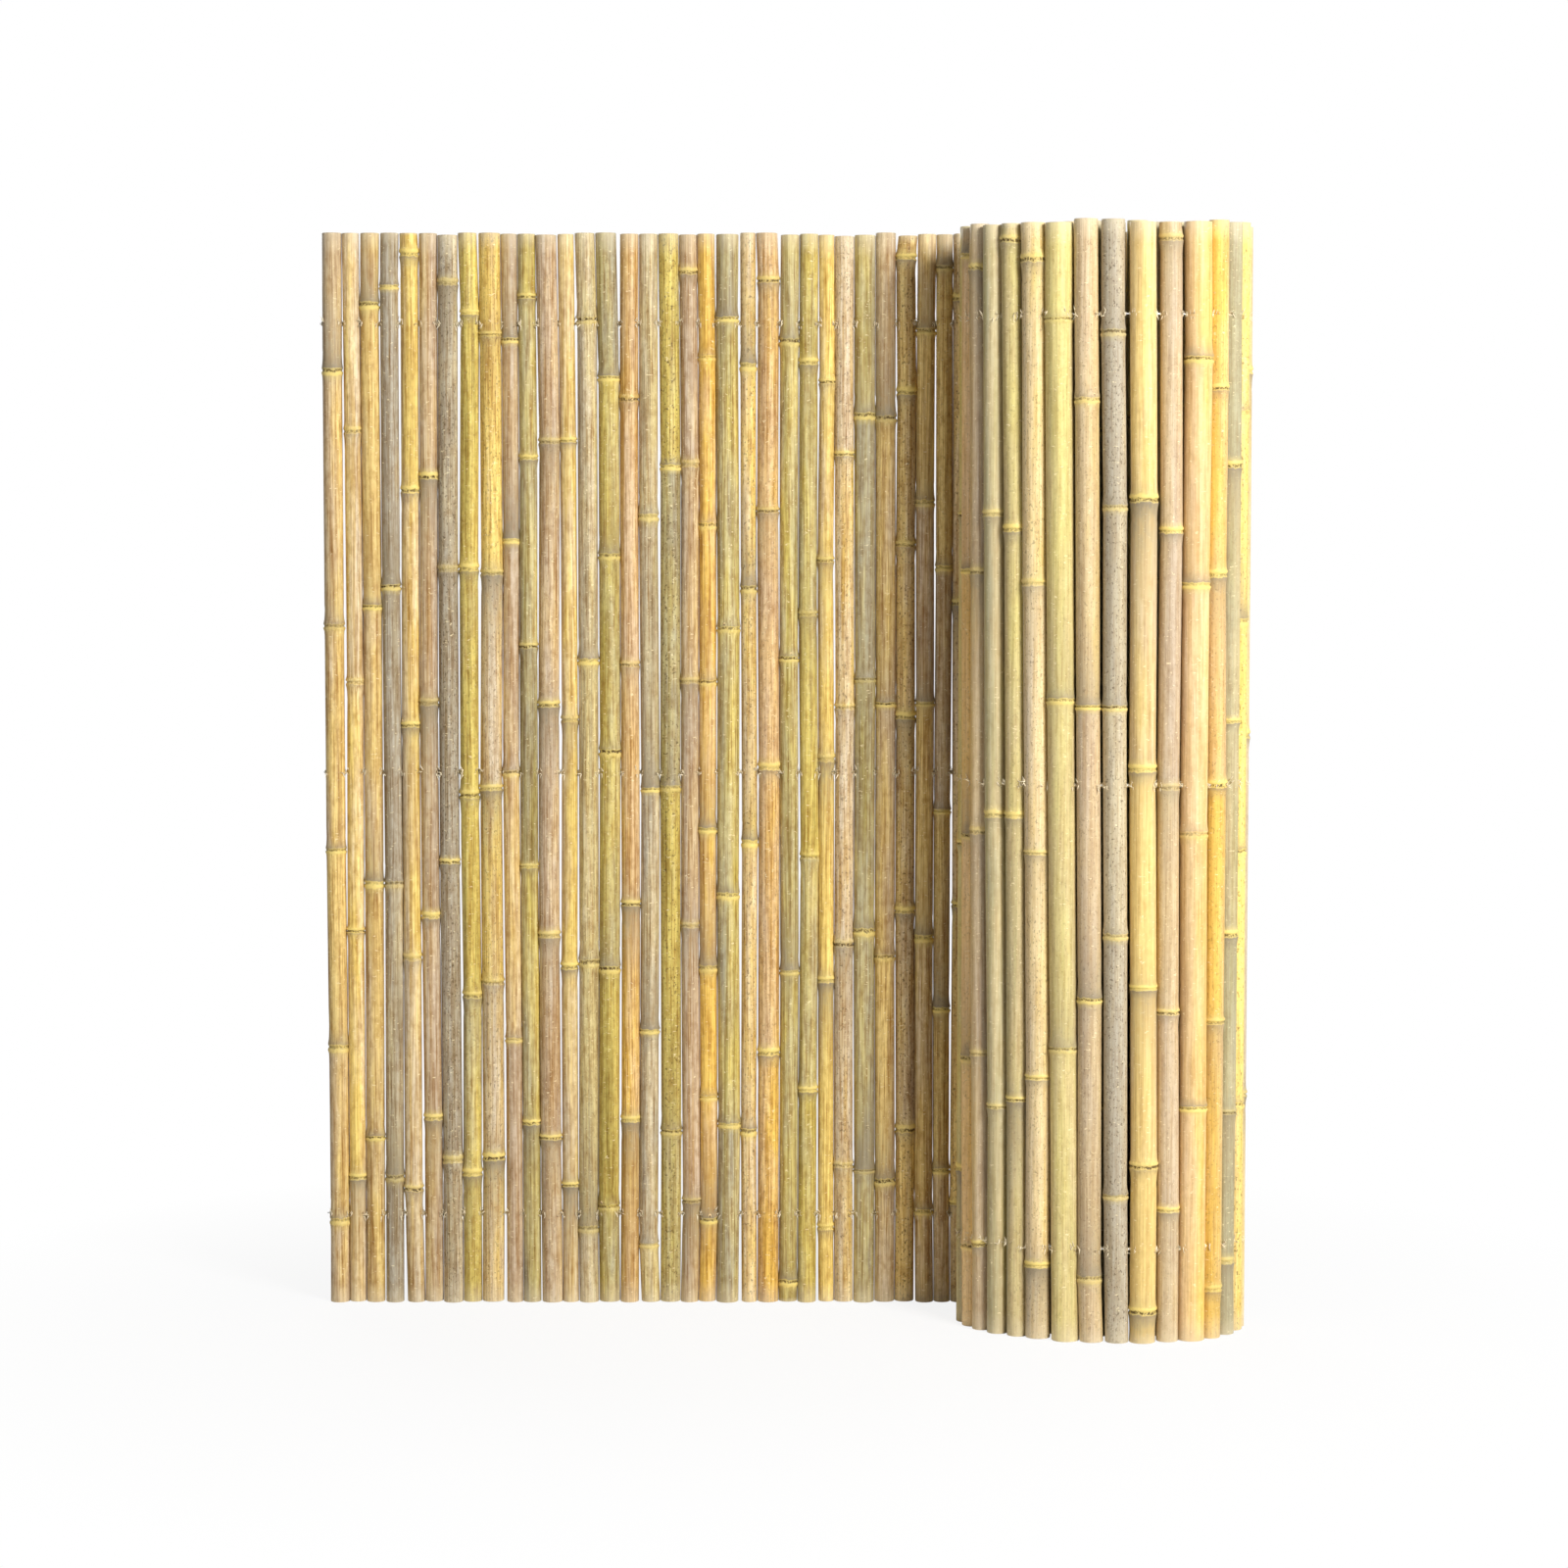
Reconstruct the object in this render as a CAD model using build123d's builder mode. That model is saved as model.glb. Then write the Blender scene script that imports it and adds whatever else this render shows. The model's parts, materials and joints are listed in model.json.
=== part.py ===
from build123d import *
from collections import namedtuple
from math import cos, pi, radians, sin, sqrt
import os
import random

# A rolled bamboo fence: canes threaded on three wires, one end pulled out flat and the rest still rolled.
# Millimetres. X runs along the flat panel, Z is up and the roll stands in front of the panel, towards -Y.

# Driving dimensions of the mat
FENCE_HEIGHT = 1219.0
CANE_GAP = 1.8
BEND_GAP = 1.6
HEAD_SPREAD = 4.0
FOOT_SPREAD = 1.2
LEAN_SPREAD = 0.5

# The roll's plan: flat stretches joined by rounder ends, each half turn set further in
PANEL_RUN = 828.0
ROLLED_LENGTH = 1306.0
FENCE_LENGTH = PANEL_RUN + ROLLED_LENGTH
FLAT_BEND = 236.0
FLAT_SWEEP = 60.0
END_BEND = 88.0
ROLL_SKEW = 12.0
TURN_GAP = 32.0
HALF_TURNS = 4

# A joint swells over a short flare, and the cane narrows again up to the next joint
RIDGE = 0.8
RIDGE_FLARE = 5.0

# Galvanised wires through drilled holes
WIRE_DIAMETER = 2.0
WIRE_PLAY = 0.4
WIRE_MARGIN = 102.0
WIRE_TAIL = 4.0

# Flat sides around a section: few, because the canes and their holes are so many
CANE_SIDES = 6
WIRE_SIDES = 3

# Canes to a node at the heart of the roll
INNER_SHARE = 5
SEED = 7

# How a cane grew: its diameter, the height of its lowest joint, the length of the internode above that
# joint, and how much longer each internode is than the one below it.
Growth = namedtuple("Growth", "diameter lowest internode ratio")

# The flat panel from its free end, as its canes stand in the photograph
PANEL_GROWTH = [
    Growth(21.0, 95, 200, 1.13), Growth(18.5, 144, 284, 1.00), Growth(20.5, 191, 292, 1.08),
    Growth(20.0, 145, 338, 1.00), Growth(19.5, 131, 266, 1.00), Growth(20.0, 213, 232, 1.05),
    Growth(22.0, 164, 343, 0.97), Growth(20.5, 149, 205, 1.12), Growth(24.0, 167, 202, 1.10),
    Growth(18.0, 304, 306, 0.86), Growth(19.5, 207, 295, 0.85), Growth(22.5, 190, 233, 1.13),
    Growth(17.5, 135, 252, 1.12), Growth(21.5, 86, 307, 1.12), Growth(23.0, 111, 275, 0.90),
    Growth(20.5, 211, 248, 1.10), Growth(20.5, 67, 247, 1.12), Growth(22.5, 198, 395, 0.92),
    Growth(19.5, 117, 317, 0.88), Growth(19.0, 96, 141, 1.06), Growth(24.5, 206, 264, 1.15),
    Growth(17.0, 198, 332, 0.87), Growth(23.5, 288, 327, 0.89), Growth(20.5, 24, 358, 1.00),
    Growth(20.5, 245, 268, 1.03), Growth(16.5, 86, 285, 0.89), Growth(20.5, 158, 255, 1.06),
    Growth(22.5, 153, 276, 1.04), Growth(21.5, 141, 258, 1.12), Growth(20.5, 199, 252, 0.88),
    Growth(19.5, 106, 315, 0.85), Growth(17.5, 153, 186, 1.22),
]

# The face of the roll, from its right-hand side round to its left
FACE_GROWTH = [
    Growth(20.0, 254, 280, 0.90), Growth(20.0, 82, 165, 1.19), Growth(20.0, 54, 295, 0.88),
    Growth(28.0, 257, 300, 0.90), Growth(22.0, 145, 217, 1.13), Growth(27.0, 34, 160, 1.22),
    Growth(24.0, 162, 285, 0.87), Growth(24.0, 71, 306, 1.04), Growth(28.0, 322, 380, 1.08),
    Growth(25.0, 81, 207, 1.19), Growth(21.0, 262, 312, 1.00), Growth(22.0, 252, 322, 1.02),
    Growth(20.0, 96, 212, 1.16), Growth(20.0, 91, 210, 1.18),
]

# Where the face begins along the mat, and how its heads fan out to the left
FACE_START = PANEL_RUN + 234.0
FAN_FROM = 4
FAN_CANES = 4
FAN_STEP = 3.0

# Canes that the photograph doesn't show
UNSEEN_DIAMETER = (19.0, 23.0)
UNSEEN_LOWEST = (90.0, 300.0)
UNSEEN_INTERNODE = (340.0, 400.0)

# A cane where it stands: part of the mat, radius, ends of its axis, heights of its joints, mat direction
Cane = namedtuple("Cane", "stretch radius foot head joints along")


def plan_line():
    """The mat's middle line seen from above, from the panel's free end to the heart of the roll."""
    with BuildLine() as line:
        last = Line((0, 0), (PANEL_RUN, 0))
        last = JernArc(last @ 1, last % 1, FLAT_BEND, -(FLAT_SWEEP / 2 + ROLL_SKEW))
        for half_turn in range(HALF_TURNS):
            inset = half_turn * TURN_GAP / 2
            last = JernArc(last @ 1, last % 1, END_BEND - inset, FLAT_SWEEP - 180)
            last = JernArc(last @ 1, last % 1, FLAT_BEND - inset - TURN_GAP / 2, -FLAT_SWEEP)
    return line.wire()


def outer_turn():
    """Length of the mat's first full turn."""
    flats = radians(FLAT_SWEEP) * (2 * FLAT_BEND - TURN_GAP)
    ends = radians(180 - FLAT_SWEEP) * (2 * END_BEND - TURN_GAP / 2)
    return flats + ends


def joint_heights(growth):
    """Heights of a cane's joints, up to a little below its head."""
    heights = []
    height = growth.lowest
    step = growth.internode
    while height < FENCE_HEIGHT - HEAD_SPREAD - 2 * RIDGE_FLARE:
        heights.append(height)
        height += step
        step *= growth.ratio
    return heights


def unseen_stretch(reach, before_face):
    """The part of the mat that a cane out of sight belongs to."""
    if reach < PANEL_RUN:
        return "tail"
    if before_face:
        return "back"
    return "side" if reach < PANEL_RUN + outer_turn() else "inner"


def unseen_growth(dice):
    """A cane out of sight: a likely diameter and even internodes."""
    return Growth(dice.uniform(*UNSEEN_DIAMETER), dice.uniform(*UNSEEN_LOWEST),
                  dice.uniform(*UNSEEN_INTERNODE), 1.0)


def lay_out():
    """Every cane of the mat, set side by side along the plan line."""
    route = plan_line()
    dice = random.Random(SEED)
    panel = list(PANEL_GROWTH)
    face = list(FACE_GROWTH)
    canes = []
    reach = 0.0
    fan = 0.0
    while True:
        if panel:
            stretch = "panel"
            growth = panel.pop(0)
        elif face and reach > FACE_START:
            stretch = "face"
            growth = face.pop(0)
            number = len(FACE_GROWTH) - len(face)
            if FAN_FROM < number <= FAN_FROM + FAN_CANES:
                fan += FAN_STEP
        else:
            stretch = unseen_stretch(reach, bool(face))
            growth = unseen_growth(dice)
        radius = growth.diameter / 2
        gap = CANE_GAP
        if reach > PANEL_RUN:
            gap += BEND_GAP
        if canes:
            reach += canes[-1].radius + gap + radius
        if reach + radius > FENCE_LENGTH:
            return canes
        lean = dice.uniform(-LEAN_SPREAD, LEAN_SPREAD)
        foot = route.position_at(reach - lean, position_mode=PositionMode.LENGTH)
        head = route.position_at(reach + lean + fan, position_mode=PositionMode.LENGTH)
        along = route.tangent_at(reach + fan / 2, position_mode=PositionMode.LENGTH)
        rise = dice.uniform(0, FOOT_SPREAD) if len(canes) % 3 else 0
        drop = dice.uniform(0, HEAD_SPREAD) if len(canes) % 7 else 0
        canes.append(Cane(stretch, radius, Vector(foot.X, foot.Y, rise),
                          Vector(head.X, head.Y, FENCE_HEIGHT - drop), joint_heights(growth), along))


def centred(canes):
    """The same canes moved so that the middle of the whole is the origin."""
    left = min(cane.foot.X - cane.radius for cane in canes)
    right = max(cane.head.X + cane.radius for cane in canes)
    front = min(cane.foot.Y - cane.radius for cane in canes)
    back = max(cane.foot.Y + cane.radius for cane in canes)
    shift = Vector(-(left + right) / 2, -(front + back) / 2, 0)
    return [cane._replace(foot=cane.foot + shift, head=cane.head + shift) for cane in canes]


def axis_at(cane, height):
    """The point of a cane's axis at a height."""
    share = (height - cane.foot.Z) / (cane.head.Z - cane.foot.Z)
    return cane.foot + (cane.head - cane.foot) * share


def corner_radius(radius, sides):
    """Reach of the corners of a flat-sided section with the area of a round one."""
    return radius * sqrt(2 * pi / (sides * sin(2 * pi / sides)))


def faceted(rings):
    """A flat-sided solid through rings of corners."""
    sides = len(rings[0])
    faces = [Face(Wire.make_polygon(rings[0][::-1])), Face(Wire.make_polygon(rings[-1]))]
    for lower, upper in zip(rings[:-1], rings[1:]):
        for side in range(sides):
            beside = (side + 1) % sides
            corners = [lower[side], lower[beside], upper[beside], upper[side]]
            faces.append(Face(Wire.make_polygon(corners)))
    return Solid(Shell(faces))


def cane_ring(cane, height, radius):
    """Corners of a cane's section, with flats turned to the canes on either side."""
    middle = axis_at(cane, height)
    across = Vector(0, 0, 1).cross(cane.along)
    reach = corner_radius(radius, CANE_SIDES)
    turns = [2 * pi * (side + 0.5) / CANE_SIDES for side in range(CANE_SIDES)]
    return [middle + cane.along * (reach * cos(turn)) + across * (reach * sin(turn)) for turn in turns]


def cane_body(cane):
    """A cane before drilling: straight internodes between swollen joints, plain where it is out of sight."""
    rings = [cane_ring(cane, cane.foot.Z, cane.radius)]
    if cane.stretch != "inner":
        for height in cane.joints:
            rings.append(cane_ring(cane, height - RIDGE_FLARE, cane.radius))
            rings.append(cane_ring(cane, height, cane.radius + RIDGE))
    rings.append(cane_ring(cane, cane.head.Z, cane.radius))
    return faceted(rings)


def wire_points(canes, height):
    """Where a wire crosses the gaps between canes, and its two ends."""
    points = [axis_at(canes[0], height) - canes[0].along * (canes[0].radius + WIRE_TAIL)]
    for here, there in zip(canes[:-1], canes[1:]):
        middle = axis_at(here, height)
        span = axis_at(there, height) - middle
        gap = span.length - here.radius - there.radius
        points.append(middle + span * ((here.radius + gap / 2) / span.length))
    points.append(axis_at(canes[-1], height) + canes[-1].along * (canes[-1].radius + WIRE_TAIL))
    return points


def drilled_cane(cane, passages):
    """A cane with a hole along each wire's passage through it."""
    hole = corner_radius(WIRE_DIAMETER / 2 + WIRE_PLAY, WIRE_SIDES)
    depth = 2 * (cane.radius + RIDGE + CANE_GAP + WIRE_TAIL)
    with BuildPart() as part:
        add(cane_body(cane))
        for enter, leave in passages:
            with BuildSketch(Plane(origin=enter, x_dir=(0, 0, 1), z_dir=leave - enter)):
                RegularPolygon(hole, WIRE_SIDES)
        extrude(amount=depth, mode=Mode.SUBTRACT)
    return part.part.solid()


def wire(points):
    """A wire that runs straight through each cane and bends in the gaps."""
    reach = corner_radius(WIRE_DIAMETER / 2, WIRE_SIDES)
    up = Vector(0, 0, 1)
    turns = [2 * pi * corner / WIRE_SIDES for corner in range(WIRE_SIDES)]
    bends = [points[0]]
    for before, here, after in zip(points[:-2], points[1:-1], points[2:]):
        if abs((here - before).get_angle(after - here)) > 0.01:
            bends.append(here)
    bends.append(points[-1])
    rings = []
    for place, here in enumerate(bends):
        arriving = (here - bends[max(place - 1, 0)]).normalized() if place else None
        leaving = (bends[place + 1] - here).normalized() if place + 1 < len(bends) else arriving
        arriving = arriving or leaving
        heading = (arriving + leaving).normalized()
        across = up.cross(heading) * (1 / heading.dot(leaving))
        rings.append([here + up * (reach * cos(turn)) + across * (reach * sin(turn)) for turn in turns])
    return faceted(rings)


def save(name, solids):
    """One node: a single solid, or several that stay apart."""
    shape = solids[0] if len(solids) == 1 else Compound(children=solids)
    export_step(shape, f"parts/{name}.step")


def save_shared(name, solids, share):
    """Neighbouring canes, a few to each node."""
    for number, first in enumerate(range(0, len(solids), share), start=1):
        save(f"{name}_{number:02d}", solids[first:first + share])


def main():
    os.makedirs("parts", exist_ok=True)
    canes = centred(lay_out())
    heights = {"wire_bottom": WIRE_MARGIN, "wire_middle": FENCE_HEIGHT / 2,
               "wire_top": FENCE_HEIGHT - WIRE_MARGIN}
    routes = {name: wire_points(canes, height) for name, height in heights.items()}
    stretches = {"panel": [], "tail": [], "back": [], "face": [], "side": [], "inner": []}
    for place, cane in enumerate(canes):
        passages = [(points[place], points[place + 1]) for points in routes.values()]
        stretches[cane.stretch].append(drilled_cane(cane, passages))
    save_shared("panel_cane", stretches["panel"], 1)
    save_shared("face_cane", stretches["face"], 1)
    for name in ("tail", "back", "side"):
        save(f"{name}_canes", stretches[name])
    save_shared("inner_canes", stretches["inner"], INNER_SHARE)
    for name, points in routes.items():
        save(name, [wire(points)])


main()
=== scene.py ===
from collections import namedtuple
from functools import lru_cache
import json
import math
import random

import bpy
import numpy as np
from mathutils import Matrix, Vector


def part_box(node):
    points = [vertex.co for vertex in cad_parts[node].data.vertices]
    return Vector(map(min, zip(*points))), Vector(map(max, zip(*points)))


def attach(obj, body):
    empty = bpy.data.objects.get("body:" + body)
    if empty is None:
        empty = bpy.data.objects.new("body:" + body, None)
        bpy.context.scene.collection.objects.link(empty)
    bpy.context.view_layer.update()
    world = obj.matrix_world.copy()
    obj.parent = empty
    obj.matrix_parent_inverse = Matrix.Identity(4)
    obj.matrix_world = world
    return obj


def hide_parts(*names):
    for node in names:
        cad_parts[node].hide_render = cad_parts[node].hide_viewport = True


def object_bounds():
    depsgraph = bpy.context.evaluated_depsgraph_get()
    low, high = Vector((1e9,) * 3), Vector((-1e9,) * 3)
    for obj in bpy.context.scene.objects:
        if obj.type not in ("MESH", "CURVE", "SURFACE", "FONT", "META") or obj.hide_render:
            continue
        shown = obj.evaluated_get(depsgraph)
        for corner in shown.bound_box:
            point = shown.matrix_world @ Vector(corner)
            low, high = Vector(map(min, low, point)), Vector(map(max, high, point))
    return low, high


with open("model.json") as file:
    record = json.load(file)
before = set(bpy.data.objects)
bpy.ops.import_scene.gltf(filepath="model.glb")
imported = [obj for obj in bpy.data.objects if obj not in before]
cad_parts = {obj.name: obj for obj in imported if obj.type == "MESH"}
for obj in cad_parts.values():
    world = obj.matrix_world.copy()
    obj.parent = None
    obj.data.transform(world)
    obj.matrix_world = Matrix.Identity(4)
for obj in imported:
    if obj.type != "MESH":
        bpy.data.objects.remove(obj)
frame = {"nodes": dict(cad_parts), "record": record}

bl_info = {
    "name": "Rolled bamboo fence",
    "version": (1, 0, 0),
    "blender": (4, 5, 0),
    "location": "View3D > Sidebar > Fence",
    "description": "Drilled bamboo canes threaded on wires, partly unrolled, with a studio around them",
    "category": "Object",
}

CAD_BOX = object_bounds()
MM = 0.001
BODY = "root"

# The frame's canes have six flat sides whose section has the area of the round cane
FLAT_SIDES = 6
EQUAL_AREA = math.sqrt(2 * math.pi / (FLAT_SIDES * math.sin(2 * math.pi / FLAT_SIDES)))
MERGE = 1e-6
LEVEL = 2e-5
JOINT_SHOWS = 0.4 * MM
JOINT_APART = 10 * MM

# A joint's profile: height from the joint in millimetres, and the share of the ridge's height there
JOINT_PROFILE = (
    (-16, 0.0), (-10, 0.08), (-6.5, 0.25), (-4.6, 0.6), (-3.4, 1.0), (-2.2, 0.98), (-1.4, 0.5),
    (-0.5, 0.08), (0.5, 0.22), (1.4, 0.7), (2.6, 0.85), (4.2, 0.6), (7, 0.22), (11, 0.0), (18, -0.22),
)
INTERNODE_STEP = 28 * MM
RING_REACH = 14.0

# How far the side of a cane that faced the sun differs in tint
SUN_BLEACH = 0.3

# How rough the skins in the roll are, beside those of the panel
ROLL_WEAR = 0.5

# Joints of the canes at the heart of the roll, whose frame shapes are plain
HIDDEN_LOWEST = (90 * MM, 300 * MM)
HIDDEN_INTERNODE = (340 * MM, 400 * MM)
TOP_CLEAR = 20 * MM

WIRE_NODES = ("wire_bottom", "wire_middle", "wire_top")
SEED = 7

# From this cane on, the panel's canes stand closer together
PANEL_END = "panel_cane_26"

# Every cane sits at least this far in from its frame axis, so that its joints stay inside the frame's box
INWARD = 1.1 * MM

Cane = namedtuple("Cane", "node foot head radius joints")


def linear(code):
    """An sRGB hex colour as linear red, green, blue and alpha."""
    channels = [int(code[place:place + 2], 16) / 255 for place in (1, 3, 5)]
    return [c / 12.92 if c <= 0.04045 else ((c + 0.055) / 1.055) ** 2.4 for c in channels] + [1.0]


def colour(name, description, code):
    """A colour that a user may change."""
    return bpy.props.FloatVectorProperty(name=name, description=description, subtype="COLOR", size=4,
                                         min=0, max=1, default=linear(code))


def length(name, description, size):
    """A length that a user may change, given in millimetres."""
    return bpy.props.FloatProperty(name=name, description=description, default=size * MM,
                                   subtype="DISTANCE", unit="LENGTH")


def watts(name, lamp, power):
    """A lamp's power that a user may change."""
    return bpy.props.FloatProperty(name=name, description=f"Power of the {lamp} in watts", default=power)


class FENCE_PG_sizes(bpy.types.PropertyGroup):
    """Sizes of the canes, wires and hole edges."""
    sides: bpy.props.IntProperty(name="Sides", description="Faces around a cane", default=24)
    ridge: length("Joint ridge", "How far a joint stands proud of its cane", 1.5)
    bow: length("Panel bow", "How far a panel cane strays from straight at a joint", 2.2)
    roll_bow: length("Roll bow", "How far a roll cane strays from straight at a joint", 1.5)
    touch: length("Touch", "Least gap between canes that lean on each other", 0.15)
    fuller: length("Panel fullness", "How far a panel cane's skin stands proud of its frame shape", 0.4)
    end_fuller: length("End fullness", "The same for the panel canes beside the roll", 0.7)
    roll_fuller: length("Roll fullness", "How far a roll cane's skin stands proud of its frame shape", 1.0)
    wall: bpy.props.FloatProperty(name="Wall", description="Cane wall as a share of its radius", default=0.3)
    bore: length("Open bore", "Greatest depth of the hollow at a cut end", 110)
    rim: length("Rim", "Worn edge around a cut end", 0.5)
    wire: length("Wire diameter", "Thickness of the galvanised wire", 2.0)
    splinter: length("Splinter", "Length of the splinters that the drill raised", 7.0)
    torn: length("Torn edge", "Radius of the splintered fibres around a hole", 3.4)
    scar: length("Branch scar", "Height of the scar left by a trimmed twig", 6.5)


class FENCE_PG_colours(bpy.types.PropertyGroup):
    """Colours of the bamboo skins, their marks and the studio."""
    straw: colour("Straw", "Pale yellow canes", "#E9D4A4")
    golden: colour("Golden", "Ripe orange canes", "#EACA92")
    tan: colour("Tan", "Weathered brown canes", "#DCC69C")
    olive: colour("Olive", "Yellow-green canes", "#D0C48E")
    green: colour("Green", "Canes cut young", "#D2C092")
    grey: colour("Grey", "Canes that mildew has greyed", "#D4C6A4")
    ring: colour("Joint ring", "Bright ring of a joint", "#E8D07A")
    deep: colour("Deep fibre", "Golden brown that darkens the fibres and hollows", "#AE8634")
    groove: colour("Groove", "Dark line between the rings of a joint", "#4E3B22")
    smudge: colour("Smudge", "Mildew beside the joints", "#8C8069")
    scratch: colour("Scratch", "Pale scuffs in the skin", "#F3E4B8")
    fibre: colour("Cut fibre", "Bare wood at ends and holes", "#F3E6C6")
    # Painted shade: this darker colour is laid inside the bores, deepening from the rim inward
    bore: colour("Bore", "Dusty inside of a cane", "#9C8156")
    steel: colour("Steel", "Zinc skin of the wires", "#D3D5D6")
    floor: colour("Floor", "Pale studio floor", "#F6F5F3")


class FENCE_PG_stage(bpy.types.PropertyGroup):
    """The studio and the camera."""
    lens: bpy.props.FloatProperty(name="Lens", description="Focal length in millimetres", default=88.1)
    eye: bpy.props.FloatVectorProperty(name="Camera", description="Where the camera stands", size=3,
                                       subtype="TRANSLATION", unit="LENGTH", default=(0.004, -4.2528, 0.904))
    tilt: bpy.props.FloatProperty(name="Tilt", description="How far the camera looks down",
                                  subtype="ANGLE", unit="ROTATION", default=math.radians(4.04))
    key: watts("Key", "key light", 226)
    side: watts("Side", "light beside the roll", 8)
    fill: watts("Fill", "fill light", 14)
    back: watts("Back", "light behind the panel", 34)
    sky: bpy.props.FloatProperty(name="Sky", description="Light from all round", default=0.13)


def islands(mesh):
    """The corners of each separate solid among a node's loose triangles."""
    mesh.calc_loop_triangles()
    spots = np.array([vertex.co for vertex in mesh.vertices])
    keys, same = np.unique(np.round(spots / MERGE), axis=0, return_inverse=True)
    corners = same.reshape(-1)[np.array([triangle.vertices for triangle in mesh.loop_triangles])]
    labels = np.arange(len(keys))
    while True:
        lowest = labels[corners].min(axis=1)
        fresh = labels.copy()
        for column in range(3):
            np.minimum.at(fresh, corners[:, column], lowest)
        if np.array_equal(fresh, labels):
            break
        labels = fresh
    return [keys[labels == label] * MERGE for label in np.unique(labels)]


def read_cane(node, spots, dice):
    """A cane's axis, radius and joints, from the corners of its frame solid."""
    heights = spots[:, 2]
    foot = spots[heights < heights.min() + LEVEL].mean(axis=0)
    head = spots[heights > heights.max() - LEVEL].mean(axis=0)
    rise = ((heights - foot[2]) / (head[2] - foot[2]))[:, None]
    reach = np.linalg.norm((spots - (foot + rise * (head - foot)))[:, :2], axis=1)
    corner = reach[heights < heights.min() + LEVEL].max()
    joints = []
    for height in np.unique(np.round(heights / LEVEL)) * LEVEL:
        wide = (np.abs(heights - height) < LEVEL) & (reach > corner + JOINT_SHOWS)
        if wide.sum() >= FLAT_SIDES - 2 and (not joints or height - joints[-1] > JOINT_APART):
            joints.append(float(height))
    if not joints:
        height = dice.uniform(*HIDDEN_LOWEST)
        while height < head[2] - TOP_CLEAR:
            joints.append(height)
            height += dice.uniform(*HIDDEN_INTERNODE)
    return Cane(node, Vector(foot), Vector(head), corner / EQUAL_AREA, joints)


def read_canes():
    """Every cane of the frame, in its order along the mat from the free end of the panel."""
    dice = random.Random(SEED)
    loose = []
    for node in sorted(frame["nodes"]):
        if node not in WIRE_NODES:
            for spots in islands(frame["nodes"][node].data):
                loose.append(read_cane(node, spots, dice))
    here = min(loose, key=lambda cane: cane.foot.x)
    chain = []
    while loose:
        middle = here.foot.lerp(here.head, 0.5)
        here = min(loose, key=lambda cane: (cane.foot.lerp(cane.head, 0.5) - middle).length)
        loose.remove(here)
        chain.append(here)
    return chain


CANES = read_canes()
SLOTS = {row["node"]: row["material_slot"] for row in frame["record"]["subparts"]}


def axis_at(cane, height):
    """The point on a cane's axis at a height."""
    return cane.foot.lerp(cane.head, (height - cane.foot.z) / (cane.head.z - cane.foot.z))


def core_at(cane, height):
    """The middle of a cane at a height, where it strays from its axis."""
    return axis_at(cane, height) + Vector((*strays(cane, height), 0))


def along_mat(place):
    """The level direction of the mat at a cane."""
    before = CANES[max(place - 1, 0)]
    after = CANES[min(place + 1, len(CANES) - 1)]
    run = after.foot.lerp(after.head, 0.5) - before.foot.lerp(before.head, 0.5)
    run.z = 0
    return run.normalized()


def add_node(tree, kind, inputs=None, **settings):
    """Adds a node with its settings, and sets or links the inputs that are named or numbered."""
    node = tree.nodes.new(kind)
    for name, value in settings.items():
        setattr(node, name, value)
    for socket, value in (inputs or {}).items():
        if isinstance(value, bpy.types.NodeSocket):
            tree.links.new(value, node.inputs[socket])
        else:
            node.inputs[socket].default_value = value
    return node


def new_material(name):
    """An empty node material with its output node."""
    material = bpy.data.materials.new(name)
    material.use_nodes = True
    material.node_tree.nodes.clear()
    return material, material.node_tree, add_node(material.node_tree, "ShaderNodeOutputMaterial")


def per_mm(across, upright):
    """A pattern's scale from its size across and along a cane, in millimetres."""
    return (1 / (across * MM), 1 / (across * MM), 1 / (upright * MM))


# What a cane's skin reads at each point: the internode's tint and shade, the height from the nearest joint in
# millimetres, how bright that joint's rings are and how dark its groove, mildew, freckles, how rough the
# weather left the cane, how far the point is bare wood, and the painted shade that darkens a bore's inside
MARKS = ("internode_tint", "internode_shade", "joint_height", "joint_ring", "joint_groove", "mildew",
         "freckles", "wear", "cut_end", "bore_depth")
MILDEW_FADE = 55.0
MILDEW_EDGE = 9.0

# Bright and greyed bands by height from the joint in millimetres, with how far each covers the skin
JOINT_BANDS = (
    (-11, "ring", 0.0), (-5.8, "ring", 0.3), (-4.4, "ring", 0.85), (-1.2, "ring", 0.9), (0.6, "ring", 0.75),
    (1.8, "ring", 0.6), (2.6, "smudge", 0.75), (6, "smudge", 0.4), (17, "smudge", 0.0),
)
BAND_SPAN = 20.0

# How far a joint's edges wander, and where its dark line is full and gone, in millimetres from the joint
RAGGED = 1.8
GROOVE_CORE = 0.7
GROOVE_EDGE = 2.0

# Patterns in the skin: name, size across and along a cane in millimetres, and detail
NOISES = (
    ("fibre", 1.8, 70, 3), ("streak", 5, 230, 2), ("cloud", 14, 120, 3),
    ("blotch", 6, 12, 4), ("scratch", 5, 2.2, 2), ("speck", 2.2, 3.4, 2),
)
PATTERN_ROUGHNESS = 0.6

# How far the clouds move a skin's tint, the roughness of the skin where it shines and where it is dull, and
# how deep its ribs are
DRIFT = 0.55
SKIN_GLOSS = (0.32, 0.5)
RIB = 0.3 * MM

# Streaks in the skin: their pattern, its values where they start and are full, how far they cover there, and
# the mark that scales them
STREAKS = ("streak", 0.45, 0.72, 0.0, 0.85, "wear")

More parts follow.
